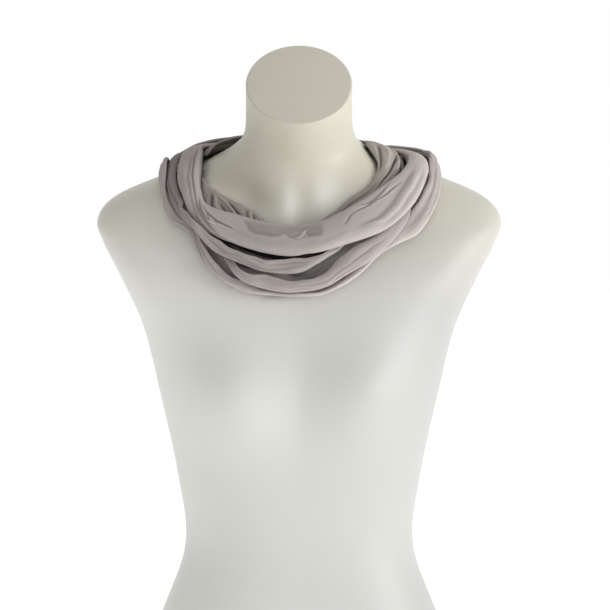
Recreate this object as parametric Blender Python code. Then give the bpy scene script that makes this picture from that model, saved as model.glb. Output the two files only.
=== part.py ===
"""Shawl wound round the neck of a limbless dress form.

The shawl is one long cloth, and it is parted lengthwise into two folds before it is wound. So two strands
go round the neck together: the first runs through the inner, middle and outer stretches, and the second
through the top and lower stretches. Each stretch goes once round, from nape to nape.

Every section of the cloth lies in a half plane that stands on one upright line through the neck. Angle 0 is
the front, 90 the viewer's right, -90 the viewer's left and 180 the nape. In the half plane, r is the distance
from that line and z the height above the form's base.

Distances in the tables are millimetres and angles are degrees. Blender's own units are metres.
"""
import bpy
import numpy as np

MM = 0.001

# The cloth
CLOTH_WALL = 1.2        # thickness of the cloth's solids
SEAM_GAP = 0.3          # gap where one stretch goes on as the next
NECK_LINE_Y = 10.0      # the upright line that the half planes turn about
SQUARE = 2.3            # 2 gives elliptical folds, more gives flatter faces with tighter bends
CLOTH_ROUND = 61        # rows of points from nape to nape
CLOTH_ACROSS = 12       # points across a section

# The dress form
FORM_ROUND = 44
FORM_ROWS = 29
BASE_HEIGHT = 0.0
BUST_HEIGHT = 398.0
BUST_HALF_SPACING = 66.0
BUST_SWELL = 13.0
BUST_SPREAD_X = 46.0
BUST_SPREAD_Z = 52.0
CAP_INSET = 2.0         # rounded edge of the neck cap

# One row for each ring of the form. A ring leans back by its tilt, so its front edge is lower than its back.
FORM_COLUMNS = ("height", "centre_y", "tilt", "half_width", "front_depth", "back_depth", "squareness")
FORM = (
    (0, 6, 0, 156, 96, 110, 2.3),
    (60, 6, 0, 166, 99, 118, 2.3),
    (150, 4, 0, 146, 93, 104, 2.2),
    (235, 0, 0, 117, 84, 84, 2.15),
    (310, 0, 0, 124, 90, 90, 2.2),
    (395, 2, 0, 142, 102, 102, 2.3),
    (460, 4, 2, 158, 97, 106, 2.4),
    (510, 6, 5, 180, 89, 104, 2.4),
    (545, 8, 8, 198, 77, 98, 2.3),
    (568, 9, 11, 205, 66, 92, 2.2),
    (588, 10, 14, 190, 57, 84, 2.1),
    (606, 10, 17, 146, 52, 76, 2.0),
    (623, 10, 19, 96, 50, 67, 2.0),
    (640, 8, 22, 66, 51, 59, 2.0),
    (656, 5, 25, 55.5, 54, 56, 2.0),
    (680, -3, 31, 53.5, 60, 60, 2.0),
    (704.5, -12, 36.4, 53.5, 68, 66, 2.0),
)

# One row for each section of a stretch. The section is a rounded strip between a top end and a lower end. It
# swells outwards by bulge and inwards by back, and its wall goes on round an end by that end's wrap. With a
# negative wrap it stops short of the end.
SECTION_COLUMNS = ("angle", "r_top", "z_top", "r_low", "z_low", "bulge", "back", "top_wrap", "low_wrap")

# Next to the neck: it shows at the right shoulder and, crumpled, at the front left.
INNER = (
    (-180, 69, 654, 75, 632, 3, 2, 40, 30),
    (-150, 75, 653, 82, 635, 3, 2, 40, 30),
    (-120, 84, 649, 90, 638, 3, 2, 40, 30),
    (-105, 91, 642, 98, 632, 3, 2, 40, 30),
    (-97, 95, 633, 105, 630.5, 2, 1.5, 20, 20),
    (-90, 103, 632.5, 114, 630.5, 2, 1.5, 20, 20),
    (-75, 102, 614, 111, 610, 2, 1.5, 10, 15),
    (-67, 95.5, 600.5, 107, 591.5, 2.5, 1.5, 5, 15),
    (-60, 89.5, 594, 105, 580.5, 2.5, 2, 0, 20),
    (-52, 82, 588, 100, 572, 2.5, 2, 0, 25),
    (-45, 77, 583, 95, 565, 2.5, 2, 0, 30),
    (-37, 72.5, 577, 91, 557, 2.5, 2, 0, 30),
    (-30, 70, 570, 88, 551, 2.5, 2, 0, 30),
    (-15, 66, 563, 84, 546, 2.5, 2, 0, 30),
    (0, 64, 562, 83, 544, 2.5, 2, 0, 30),
    (15, 64, 567, 84, 548, 2.5, 2, 0, 30),
    (30, 65, 577, 84, 556, 2.5, 2, 0, 30),
    (45, 70, 590, 89, 569, 3, 2, 0, 30),
    (60, 81, 604, 101, 587, 4, 2, 0, 30),
    (75, 82, 624, 107, 610, 4, 2, 0, 20),
    (90, 68, 643, 105, 626, 7, 2, 0, 25),
    (105, 71, 645, 97, 635, 5, 2, 5, 10),
    (120, 75, 646.5, 94, 635, 3, 2, 10, 30),
    (150, 76, 650, 83, 633, 3, 2, 40, 30),
)

# The broad front band, an arch that the inner, middle and lower stretches run under.
TOP = (
    (-180, 80, 656, 86, 626, 4, 3, 40, 50),
    (-150, 86, 654, 94, 629, 4, 3, 40, 50),
    (-120, 98, 643, 111, 630, 5, 3, 30, 40),
    (-105, 101, 641, 116, 633, 5, 4, 20, 10),
    (-90, 98, 636, 119, 627, 8, 4, 10, 30),
    (-75, 102, 618, 125, 606, 9, 4, 0, 40),
    (-67, 106.5, 600, 125.5, 593, 8, 4, 0, 35),
    (-60, 106.5, 584.5, 125.5, 577.5, 8, 4, -5, 30),
    (-52, 98, 577.5, 123, 565, 8.5, 4, -15, 30),
    (-45, 89, 574, 120, 557.5, 9, 4, -20, 30),
    (-30, 80, 568, 114, 548, 9, 5, -20, 40),
    (-15, 76, 565, 111, 541, 9, 5, -20, 40),
    (0, 74, 564, 110, 539, 9, 5, -20, 0),
    (15, 74, 567, 111, 544.5, 9, 5, -20, 5),
    (30, 76, 575, 113, 553, 10, 5, -20, 10),
    (45, 83, 586, 121, 564, 10, 5, -20, 40),
    (60, 94, 600, 129, 585, 11, 5, -10, 40),
    (75, 107, 617, 130, 606, 9, 5, 0, 40),
    (90, 109, 629, 128, 622, 9, 4, 20, 40),
    (97, 106, 633, 122, 628.5, 6, 3, 25, 20),
    (105, 101, 636, 112.5, 632.5, 4, 3, 30, 10),
    (120, 98, 638, 109, 629, 4, 3, 40, 40),
    (150, 91, 649, 99, 623, 4, 3, 40, 50),
)

# The second band, an open gutter at the front left with a bare edge inside the dark gap.
MIDDLE = (
    (-180, 90, 656, 97, 620, 4, 3, 40, 50),
    (-150, 99, 652, 108, 619, 4, 3, 40, 50),
    (-120, 115, 644, 127, 625, 5, 3, 40, 50),
    (-105, 121.5, 635, 130.5, 624.5, 4, 3, 35, 20),
    (-90, 123, 629, 132, 617, 4, 3, 40, 50),
    (-75, 127.5, 606, 135, 594, 4, 4, 0, 60),
    (-67, 123, 588, 134, 580.5, 4, 4, -35, 60),
    (-64, 119, 585.5, 134.5, 577, 3.5, 4, -90, 60),
    (-60, 115, 581, 133.5, 573, 3.5, 4, -105, 50),
    (-52, 112, 572.5, 132, 563, 3.5, 5, -110, 60),
    (-45, 109.5, 562, 126.5, 547, 4, 6, -96, 150),
    (-30, 104, 551, 119, 531.5, 4, 7, -98, 155),
    (-15, 101, 544, 117, 522.8, 4, 7, -98, 155),
    (0, 99, 541.5, 115, 523, 4, 7, -82, 155),
    (15, 96, 546.5, 111, 538, 3, 5, -112, 140),
    (22, 93, 553, 105, 544, 2, 4, -70, 90),
    (30, 92, 564, 103, 555, 2, 3, 0, 60),
    (45, 103, 575, 112, 567, 2, 2, 20, 30),
    (60, 109, 591, 118, 586, 2, 2, 30, 30),
    (75, 112, 612, 122, 608, 2, 2, 30, 30),
    (90, 113, 627.5, 122, 624, 2, 1.5, 30, 30),
    (97, 111, 627.5, 120, 624.5, 1.5, 1, 25, 20),
    (105, 111, 629, 120, 626, 1.5, 1, 20, 20),
    (120, 115, 632, 121, 621, 2.5, 2, 30, 30),
    (150, 106, 646, 112, 616, 4, 3, 40, 50),
)

# The third band, an open gutter at the front that runs up to the right.
LOWER = (
    (-180, 101, 650, 108, 612, 4, 3, 40, 50),
    (-150, 112, 640, 120, 610, 4, 3, 40, 50),
    (-120, 127, 621, 134, 611, 2, 2, 30, 30),
    (-105, 113, 628, 126, 624, 1, 1, 10, 10),
    (-90, 107, 624, 118, 620.3, 1.2, 1.2, 15, 15),
    (-75, 109, 606, 119, 600.5, 1.2, 1.2, 20, 20),
    (-67, 112, 586, 119, 580, 1.2, 1.2, 20, 20),
    (-60, 108, 574, 115, 568, 1.5, 1.5, 30, 30),
    (-45, 102, 553, 109, 543, 2, 2, 20, 40),
    (-36, 100.5, 539.3, 116.5, 527.4, 3, 5.5, -80, 88),
    (-30, 100, 532.5, 122, 519.5, 5, 7, -116, 120),
    (-15, 98, 527, 121, 507, 5, 7, -100, 155),
    (0, 96, 519.5, 118, 505.5, 5, 7, -108, 160),
    (15, 97, 530, 118, 510, 5, 7, -90, 155),
    (22, 100, 538.5, 119, 518.5, 5, 7, -68, 145),
    (30, 103, 546, 120, 527, 5, 7, -45, 130),
    (45, 111, 559, 122, 545, 4, 4, -20, 90),
    (60, 115, 582, 126, 573.5, 2, 2, 20, 30),
    (67, 114, 592.5, 123, 588, 1.5, 1.5, 20, 20),
    (75, 113, 604, 124, 599.5, 1.5, 1.5, 20, 20),
    (90, 112, 621.5, 126, 616.5, 1.5, 1, 20, 20),
    (97, 117, 621.8, 128, 618, 1.5, 1, 20, 15),
    (105, 124, 624.5, 131, 620.5, 1.5, 1, 10, 10),
    (120, 125, 629, 130, 615, 1.5, 1.5, 30, 40),
    (150, 118, 632, 123, 606, 3, 3, 40, 50),
)

# The last band, lowest on the chest at the front left and outermost at the right shoulder.
OUTER = (
    (-180, 112, 640, 118, 600, 4, 3, 40, 50),
    (-150, 126, 626, 132, 594, 4, 3, 40, 50),
    (-120, 140, 620, 145, 603, 3, 3, 40, 50),
    (-105, 135.5, 622.5, 144.5, 615.5, 2.5, 2, 30, 20),
    (-90, 134.8, 629.5, 141.3, 612, 3, 2, 45, 50),
    (-80, 136.5, 613, 141, 602, 2.5, 2, 10, 50),
    (-75, 139, 599.5, 140.5, 591, 1.5, 2, 0, 50),
    (-71, 137.8, 587, 140, 580, 1.5, 2, 0, 40),
    (-67, 132.5, 576, 138, 571, 1.5, 2, -10, 50),
    (-60, 119, 566, 127.5, 560, 2, 2.5, -30, 50),
    (-52, 115, 552, 127, 539, 3.5, 5, -72, 95),
    (-45, 112, 543, 127, 524, 4, 6, -88, 140),
    (-30, 104, 515, 116, 505, 4, 5, -95, 110),
    (-15, 98, 505, 109, 501, 1.5, 3, 0, 60),
    (0, 97, 502, 107, 500, 1.5, 2.5, 0, 60),
    (15, 97, 506, 109, 503.5, 1.5, 2.5, 0, 60),
    (30, 103, 525, 113, 518, 2.5, 3, 0, 80),
    (45, 106, 547, 117, 540.5, 2, 2.5, 0, 60),
    (52, 110, 559, 125, 549, 2.5, 3, 0, 50),
    (60, 113, 569, 134, 557, 3, 3, 0, 50),
    (67, 120, 581.5, 140, 571, 4, 2.5, 5, 60),
    (75, 128, 597.5, 143, 588, 5, 3, 5, 60),
    (82, 132, 610.5, 142.5, 602, 5, 3, 15, 50),
    (90, 133, 631, 141, 611, 5, 3, 55, 50),
    (105, 132, 637.5, 142, 618, 5, 3, 60, 30),
    (120, 130, 640, 141, 607, 5, 3, 60, 60),
    (135, 126, 641, 137, 601, 4.5, 3, 50, 55),
    (150, 125, 637, 134, 595, 4, 3, 40, 50),
)

# Where the two strands stop at the nape, tucked flat against the stretch below.
OUTER_END = (180, 126, 630, 130, 600, 2.5, 2, -15, -15)
LOWER_END = (180, 121.5, 621, 122.5, 607, 1.2, 1, 0, 0)

STRANDS = (
    (("inner", INNER), ("middle", MIDDLE), ("outer", OUTER), OUTER_END),
    (("top", TOP), ("lower", LOWER), LOWER_END),
)

# The largest creases, as soft troughs that run along a stretch. Across is 0 at the section's first edge and 1
# at its last, and a crease drifts from its first place across to its last.
CREASE_COLUMNS = ("stretch", "from_angle", "to_angle", "across_from", "across_to", "depth", "width")
CREASES = (
    ("inner", -70, -25, 0.35, 0.60, 1.2, 4.0),
    ("inner", 40, 110, 0.30, 0.55, 1.8, 5.0),
    ("inner", 70, 125, 0.60, 0.40, 1.5, 4.5),
    ("top", -110, -20, 0.28, 0.40, 1.6, 5.0),
    ("top", 12, 95, 0.22, 0.36, 1.8, 5.5),
    ("top", -30, 40, 0.58, 0.50, 1.0, 6.0),
    ("top", 130, 176, 0.35, 0.45, 1.0, 5.0),
    ("middle", -150, -80, 0.40, 0.55, 1.2, 5.0),
    ("middle", -40, 5, 0.20, 0.26, 0.8, 4.0),
    ("lower", -10, 50, 0.24, 0.34, 1.2, 4.5),
    ("lower", -175, -140, 0.40, 0.50, 1.0, 5.0),
    ("outer", 62, 150, 0.30, 0.45, 1.6, 5.0),
    ("outer", -58, -30, 0.18, 0.26, 1.0, 4.0),
    ("outer", -172, -110, 0.35, 0.50, 1.2, 5.0),
)


def material(name, colour, roughness):
    """A plain Principled material."""
    mat = bpy.data.materials.new(name)
    mat.use_nodes = True
    shader = mat.node_tree.nodes["Principled BSDF"]
    shader.inputs["Base Color"].default_value = (*colour, 1.0)
    shader.inputs["Roughness"].default_value = roughness
    shader.inputs["Metallic"].default_value = 0.0
    return mat


def add_object(name, points, faces, mat):
    """A mesh object from points in millimetres."""
    mesh = bpy.data.meshes.new(name)
    mesh.from_pydata([tuple(p) for p in np.asarray(points) * MM], [], faces)
    mesh.update()
    mesh.materials.append(mat)
    obj = bpy.data.objects.new(name, mesh)
    bpy.context.scene.collection.objects.link(obj)
    return obj


def form_rings(n_rows):
    """The form's ring table, read at evenly spaced places with a Catmull-Rom curve."""
    table = np.array(FORM, float)
    at = np.linspace(0, len(table) - 1, n_rows)
    i = np.clip(at.astype(int), 0, len(table) - 2)
    f = (at - i)[:, None]
    padded = np.vstack([2 * table[0] - table[1], table, 2 * table[-1] - table[-2]])
    a, b, c, d = padded[i], padded[i + 1], padded[i + 2], padded[i + 3]
    return b + 0.5 * f * (c - a + f * (2 * a - 5 * b + 4 * c - d + f * (3 * (b - c) + d - a)))


def form_points(n_rows, n_round):
    """Points of the form's skin, one ring to a row, from the base up to the neck's edge."""
    height, centre_y, tilt, half_width, front, back, square = [c[:, None] for c in form_rings(n_rows).T]
    turn = np.radians(np.linspace(0, 360, n_round, endpoint=False))
    side, ahead = np.sin(turn), -np.cos(turn)
    x = half_width * np.sign(side) * np.abs(side) ** (2 / square)
    reach = np.where(ahead < 0, front, back) * np.sign(ahead) * np.abs(ahead) ** (2 / square)
    lean = np.radians(tilt)
    y = centre_y + reach * np.cos(lean)
    z = height + reach * np.sin(lean)
    beside = (np.abs(x) - BUST_HALF_SPACING) / BUST_SPREAD_X
    above = (z - BUST_HEIGHT) / BUST_SPREAD_Z
    swell = np.exp(-(beside ** 2) - above ** 2)
    y = y - BUST_SWELL * swell * (y < centre_y)
    return np.stack([x, y, z], axis=-1)


def build_form():
    """The dress form: rings from a flat base to a slanted neck cap with a rounded edge."""
    rings = form_points(FORM_ROWS, FORM_ROUND)
    edge = rings[-1]
    middle = edge.mean(axis=0)
    across = (edge - middle) / np.linalg.norm(edge - middle, axis=1)[:, None]
    slope = np.radians(FORM[-1][2])
    up = np.array([0.0, -np.sin(slope), np.cos(slope)])
    cap = edge - across * CAP_INSET + up * CAP_INSET
    rings = np.concatenate([rings, cap[None]])
    rings[0, :, 2] = BASE_HEIGHT
    n_rows, n_round = rings.shape[:2]
    faces = []
    for i in range(n_rows - 1):
        for j in range(n_round):
            k = (j + 1) % n_round
            faces.append((i * n_round + j, i * n_round + k, (i + 1) * n_round + k, (i + 1) * n_round + j))
    faces.append(tuple(reversed(range(n_round))))
    faces.append(tuple((n_rows - 1) * n_round + j for j in range(n_round)))
    ivory = material("form_ivory", (0.72, 0.69, 0.60), 0.5)
    return add_object("dress_form", rings.reshape(-1, 3), faces, ivory)


def strand_rows(strand):
    """The section rows of one strand end to end, with the angle running on from turn to turn."""
    out = []
    for turn, (name, table) in enumerate(strand[:-1]):
        for row in table:
            out.append((row[0] + 360 * turn,) + row[1:])
    end = strand[-1]
    out.append((end[0] + 360 * (len(strand) - 2),) + end[1:])
    return np.array(out, float)


def smooth_rows(rows, at):
    """A cubic Hermite curve through unevenly spaced rows, read at the angles `at`."""
    x, y = rows[:, 0], rows[:, 1:]
    gap = np.diff(x)[:, None]
    slope = np.diff(y, axis=0) / gap
    tangent = np.empty_like(y)
    tangent[1:-1] = (slope[:-1] * gap[1:] + slope[1:] * gap[:-1]) / (gap[1:] + gap[:-1])
    tangent[0], tangent[-1] = slope[0], slope[-1]
    i = np.clip(np.searchsorted(x, at, side="right") - 1, 0, len(x) - 2)
    t = ((at - x[i]) / (x[i + 1] - x[i]))[:, None]
    h = gap[i]
    start = (2 * t**3 - 3 * t**2 + 1) * y[i] + (t**3 - 2 * t**2 + t) * h * tangent[i]
    end = (-2 * t**3 + 3 * t**2) * y[i + 1] + (t**3 - t**2) * h * tangent[i + 1]
    return start + end


def section_points(values, n):
    """Evenly spaced points (r, z) along each section, from its top end to its lower end."""
    r_top, z_top, r_low, z_low, bulge, back, top_wrap, low_wrap = [c[:, None] for c in values.T]
    half = np.hypot(r_top - r_low, z_top - z_low) / 2
    up_r, up_z = (r_top - r_low) / (2 * half), (z_top - z_low) / (2 * half)
    turn = np.radians(90 + top_wrap - np.linspace(0, 1, 241)[None, :] * (180 + top_wrap + low_wrap))
    out = np.sign(np.cos(turn)) * np.abs(np.cos(turn)) ** (2 / SQUARE)
    along = np.sign(np.sin(turn)) * np.abs(np.sin(turn)) ** (2 / SQUARE)
    depth = np.where(out > 0, bulge, back) * out
    r = (r_top + r_low) / 2 + half * along * up_r + depth * up_z
    z = (z_top + z_low) / 2 + half * along * up_z - depth * up_r
    run = np.cumsum(np.hypot(np.diff(r, axis=1), np.diff(z, axis=1)), axis=1)
    run = np.hstack([np.zeros((len(r), 1)), run]) / run[:, -1:]
    want = np.linspace(0, 1, n)
    even_r = np.stack([np.interp(want, run[i], r[i]) for i in range(len(r))])
    even_z = np.stack([np.interp(want, run[i], z[i]) for i in range(len(r))])
    return even_r, even_z


def crease_depth(name, angle, across, width_mm):
    """How far the creases of one stretch push its surface in, at each point of its grid."""
    total = np.zeros((len(angle), len(across)))
    for stretch, start, stop, across_from, across_to, depth, width in CREASES:
        if stretch != name:
            continue
        t = np.clip((angle - start) / (stop - start), 0, 1)
        place = across_from + (across_to - across_from) * t
        strength = depth * np.sin(np.pi * t) ** 0.7
        offset = (across[None, :] - place[:, None]) * width_mm[:, None]
        total += strength[:, None] * np.exp(-((offset / width) ** 2))
    return total


def stretch_points(strand, turn, n_round, n_across):
    """Points of one stretch's middle surface, from nape to nape and from its first edge to its last."""
    name = strand[turn][0]
    rows = strand_rows(strand)
    nape_r = rows[:, 1].min()
    trim = np.degrees(SEAM_GAP / 2 / nape_r)
    angle = np.linspace(-180 + trim, 180 - trim, n_round)
    r, z = section_points(smooth_rows(rows, angle + 360 * turn), n_across)
    turned = np.radians(angle)[:, None]
    points = np.stack([r * np.sin(turned), NECK_LINE_Y - r * np.cos(turned), z], axis=-1)
    normal = np.cross(np.gradient(points, axis=1), np.gradient(points, axis=0))
    normal /= np.linalg.norm(normal, axis=2)[:, :, None]
    width_mm = np.hypot(np.diff(r, axis=1), np.diff(z, axis=1)).sum(axis=1)
    push = crease_depth(name, angle, np.linspace(0, 1, n_across), width_mm)
    return points - normal * push[:, :, None]


def build_stretch(strand, turn, mat):
    """One stretch of the shawl: its middle surface, thickened into a wall."""
    points = stretch_points(strand, turn, CLOTH_ROUND, CLOTH_ACROSS)
    n_round, n_across = points.shape[:2]
    faces = []
    for i in range(n_round - 1):
        for j in range(n_across - 1):
            k = i * n_across + j
            faces.append((k, k + 1, k + n_across + 1, k + n_across))
    obj = add_object("shawl_" + strand[turn][0], points.reshape(-1, 3), faces, mat)
    wall = obj.modifiers.new("cloth wall", "SOLIDIFY")
    wall.thickness = CLOTH_WALL * MM
    wall.offset = 0.0
    wall.use_rim = True
    return obj


def build_all():
    """The whole part, standing on z = 0 with its front towards -Y."""
    for obj in list(bpy.data.objects):
        bpy.data.objects.remove(obj, do_unlink=True)
    build_form()
    for strand in STRANDS:
        for turn in range(len(strand) - 1):
            cloth = material("cloth_" + strand[turn][0], (0.38, 0.335, 0.315), 0.85)
            build_stretch(strand, turn, cloth)


build_all()
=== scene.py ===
"""Looks of a shawl wound round the neck of a dress form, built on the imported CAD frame.

Distances in the tables are millimetres and angles are degrees; meshes are in metres. Angle 0 is the front,
90 the viewer's right, -90 the viewer's left and 180 the nape, all round an upright line through the neck.
"""
import math

import bpy
import numpy as np
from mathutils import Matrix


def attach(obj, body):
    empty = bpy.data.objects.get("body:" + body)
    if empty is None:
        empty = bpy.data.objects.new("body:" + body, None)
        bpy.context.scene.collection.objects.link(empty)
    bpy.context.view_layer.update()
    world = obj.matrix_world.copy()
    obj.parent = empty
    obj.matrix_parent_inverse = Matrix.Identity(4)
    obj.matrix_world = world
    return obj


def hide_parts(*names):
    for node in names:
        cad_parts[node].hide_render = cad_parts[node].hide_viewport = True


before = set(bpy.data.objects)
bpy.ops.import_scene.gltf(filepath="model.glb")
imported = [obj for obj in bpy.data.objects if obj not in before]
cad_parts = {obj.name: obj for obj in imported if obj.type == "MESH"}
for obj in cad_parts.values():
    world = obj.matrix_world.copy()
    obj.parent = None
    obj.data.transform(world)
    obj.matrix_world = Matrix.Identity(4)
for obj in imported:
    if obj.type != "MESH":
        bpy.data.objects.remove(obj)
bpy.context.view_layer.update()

# Photograph's view
# A long lens a little above the neckline, looking straight at the front of the form. One pixel of the
# square picture is one millimetre at the cloth.
VIEW_AIM = (0.006, -0.040, 0.485)
VIEW_DISTANCE = 2.4
VIEW_ELEVATION = 5.0
VIEW_WIDTH = 0.610
SENSOR = 36.0

camera_data = bpy.data.cameras.new("camera")
camera_data.sensor_width = SENSOR
camera_data.lens = SENSOR * VIEW_DISTANCE / VIEW_WIDTH
camera = bpy.data.objects.new("camera", camera_data)
lift = math.radians(VIEW_ELEVATION)
aim_x, aim_y, aim_z = VIEW_AIM
camera.location = (aim_x, aim_y - VIEW_DISTANCE * math.cos(lift), aim_z + VIEW_DISTANCE * math.sin(lift))
camera.rotation_euler = (math.radians(90 - VIEW_ELEVATION), 0, 0)
bpy.context.scene.collection.objects.link(camera)
bpy.context.scene.camera = camera

# Floor and light
# A pale floor and a white surround, brightest behind the form and at the right, with one broad soft light at
# the right and weaker ones in front and above.
bpy.context.scene.view_settings.view_transform = "Standard"
world = bpy.data.worlds.new("studio")
world.use_nodes = True
bpy.context.scene.world = world


def soft_light(name, place, aim, size, power):
    """A square area light at `place`, turned to face `aim`."""
    data = bpy.data.lights.new(name, "AREA")
    data.shape = "SQUARE"
    data.size = size
    data.energy = power
    lamp = bpy.data.objects.new(name, data)
    lamp.location = place
    ahead = np.array(aim, float) - np.array(place, float)
    flat = math.hypot(ahead[0], ahead[1])
    lamp.rotation_euler = (math.atan2(flat, -ahead[2]), 0, math.atan2(-ahead[0], ahead[1]))
    bpy.context.scene.collection.objects.link(lamp)


soft_light("key_right", (3.8, -1.7, 0.75), (0, 0, 0.55), 2.2, 122)
soft_light("fill_front", (-0.6, -3.2, 0.9), (0, 0, 0.50), 2.0, 11)
soft_light("top", (-0.1, -0.3, 2.4), (0, 0, 0.6), 1.2, 4)


class Socket:
    """A shader socket that Python's operators work on: each one adds a Math node."""

    def __init__(self, tree, socket):
        self.tree = tree
        self.socket = socket

    def node(self, kind, settings=None, **inputs):
        """Adds a node, sets its own settings first, then its sockets' values or links."""
        made = self.tree.nodes.new(kind)
        for key, value in (settings or {}).items():
            setattr(made, key, value)
        for key, value in inputs.items():
            target = made.inputs[int(key[1:])] if key[0] == "_" else made.inputs[key.replace("_", " ")]
            if isinstance(value, Socket):
                self.tree.links.new(value.socket, target)
            else:
                target.default_value = value
        return made

    def out(self, kind, settings=None, output=0, **inputs):
        """The chosen output of a new node."""
        return Socket(self.tree, self.node(kind, settings, **inputs).outputs[output])

    def math(self, operation, first, second=0.0, clamp=False):
        """One Math node on two sockets or numbers."""
        return self.out("ShaderNodeMath", {"operation": operation, "use_clamp": clamp}, _0=first, _1=second)

    def __add__(self, other):
        return self.math("ADD", self, other)

    __radd__ = __add__

    def __mul__(self, other):
        return self.math("MULTIPLY", self, other)

    __rmul__ = __mul__

    def __sub__(self, other):
        return self.math("SUBTRACT", self, other)

    def __rsub__(self, other):
        return self.math("SUBTRACT", other, self)

    def sine(self):
        """Sine of this socket, in radians."""
        return self.math("SINE", self)

    def clamp(self):
        """This socket held between 0 and 1."""
        return self.math("ADD", self, 0.0, clamp=True)

    def mix(self, low, high):
        """The colour `low` where this socket is 0 and `high` where it is 1."""
        made = self.node("ShaderNodeMix", {"data_type": "RGBA"}, _0=self, _6=low, _7=high)
        return Socket(self.tree, made.outputs[2])

    def split(self):
        """The three parts of a vector."""
        return [Socket(self.tree, part) for part in self.node("ShaderNodeSeparateXYZ", Vector=self).outputs]


def new_material(name, **constants):
    """A Principled material with its constant sockets set, and a Socket to write expressions with."""
    mat = bpy.data.materials.new(name)
    mat.use_nodes = True
    shader = mat.node_tree.nodes["Principled BSDF"]
    for key, value in constants.items():
        shader.inputs[key.replace("_", " ")].default_value = value
    return mat, shader, Socket(mat.node_tree, None)


def feed(node, name, value):
    """Links a worked-out socket into the node's socket of that name."""
    node.id_data.links.new(value.socket, node.inputs[name])


WORLD_LEAN = (0.38, 1.0, 0.0)  # the way in which the surround gets brighter
WORLD_EDGES = (-0.15, 0.55)  # where along that way it is dimmest and brightest
WORLD_DIM = 0.36
world_maths = Socket(world.node_tree, None)
world_side = world_maths.out("ShaderNodeTexCoord")
world_lean = world_maths.out(
    "ShaderNodeVectorMath", {"operation": "DOT_PRODUCT"}, output=1, _0=world_side, _1=WORLD_LEAN
)
world_light = world_maths.out(
    "ShaderNodeMapRange", {"interpolation_type": "SMOOTHSTEP"}, _0=world_lean,
    From_Min=WORLD_EDGES[0], From_Max=WORLD_EDGES[1], To_Min=WORLD_DIM,
)
world_background = world.node_tree.nodes["Background"]
world_background.inputs["Color"].default_value = (1.0, 1.0, 1.0, 1.0)
feed(world_background, "Strength", world_light)

FLOOR_HALF = 6.0
floor_corners = [(x * FLOOR_HALF, y * FLOOR_HALF, 0) for x, y in ((-1, -1), (1, -1), (1, 1), (-1, 1))]
floor_mesh = bpy.data.meshes.new("studio_floor")
floor_mesh.from_pydata(floor_corners, [], [(0, 1, 2, 3)])
floor = bpy.data.objects.new("studio_floor", floor_mesh)
bpy.context.scene.collection.objects.link(floor)
floor_paper = {"Base_Color": (0.88, 0.88, 0.88, 1), "Emission_Color": (1, 1, 1, 1), "Emission_Strength": 0.5}
floor_mesh.materials.append(new_material("floor_paper", Roughness=0.95, **floor_paper)[0])

# The dress form
# A hollow moulded torso with a smooth satin ivory skin, cast in one piece and cut flat under the hips. Its
# neck ends in a slanted cap with a softly rounded edge.
MM = 0.001
NECK_LINE_Y = 10.0  # the upright line that every half plane turns about; the front lies before it
FORM_ROWS, FORM_ROUND = 190, 200
CAP_STEPS, CAP_INSET = 6, 2.0  # rounded edge of the neck cap
FOOT_INSET = 0.012  # the flat underside is smaller than the lowest ring by this share
FOOT_RISE = 1.5  # height of the lowest ring above the underside
BUST_HEIGHT = 398.0
BUST_HALF_SPACING = 66.0
BUST_SWELL = 13.0
BUST_SPREAD_X = 46.0
BUST_SPREAD_Z = 52.0
# centre_x, centre_z, spread_x, spread_z, depth: soft hollows in front, one each side of the throat, and a low
# ridge between them
NECK_BELLS = (
    (-40, 588, 17, 19, 3.0),
    (20, 584, 16, 18, 2.0),
    (-12, 590, 10, 24, -0.8),
)
# height, centre_y, tilt, half_width, front_depth, back_depth, squareness
FORM = (
    (0, 6, 0, 156, 96, 110, 2.3),
    (60, 6, 0, 166, 99, 118, 2.3),
    (150, 4, 0, 146, 93, 104, 2.2),
    (235, 0, 0, 117, 84, 84, 2.15),
    (310, 0, 0, 124, 90, 90, 2.2),
    (395, 2, 0, 142, 102, 102, 2.3),
    (460, 4, 2, 158, 97, 106, 2.4),
    (510, 6, 5, 180, 89, 104, 2.4),
    (545, 8, 8, 198, 77, 98, 2.3),
    (568, 9, 11, 205, 66, 92, 2.2),
    (588, 10, 14, 190, 57, 84, 2.1),
    (606, 10, 17, 146, 52, 76, 2.0),
    (623, 10, 19, 96, 50, 67, 2.0),
    (640, 8, 22, 66, 51, 59, 2.0),
    (656, 5, 25, 55.5, 54, 56, 2.0),
    (680, -3, 31, 53.5, 60, 60, 2.0),
    (704.5, -12, 36.4, 53.5, 68, 66, 2.0),
)


def form_rings(n_rows):
    """The ring table read at evenly spaced places: a Catmull-Rom curve through each column."""
    table = np.array(FORM, float)
    at = np.linspace(0, len(table) - 1, n_rows)
    i = np.clip(at.astype(int), 0, len(table) - 2)
    f = (at - i)[:, None]
    padded = np.vstack([2 * table[0] - table[1], table, 2 * table[-1] - table[-2]])
    a, b, c, d = padded[i], padded[i + 1], padded[i + 2], padded[i + 3]
    return b + 0.5 * f * (c - a + f * (2 * a - 5 * b + 4 * c - d + f * (3 * (b - c) + d - a)))


def bell(x, z, centre_x, centre_z, spread_x, spread_z):
    """A soft bell over x and z: e to the minus sum of both squared distances, each in its own spread."""
    return np.exp(-(((x - centre_x) / spread_x) ** 2) - ((z - centre_z) / spread_z) ** 2)


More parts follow.
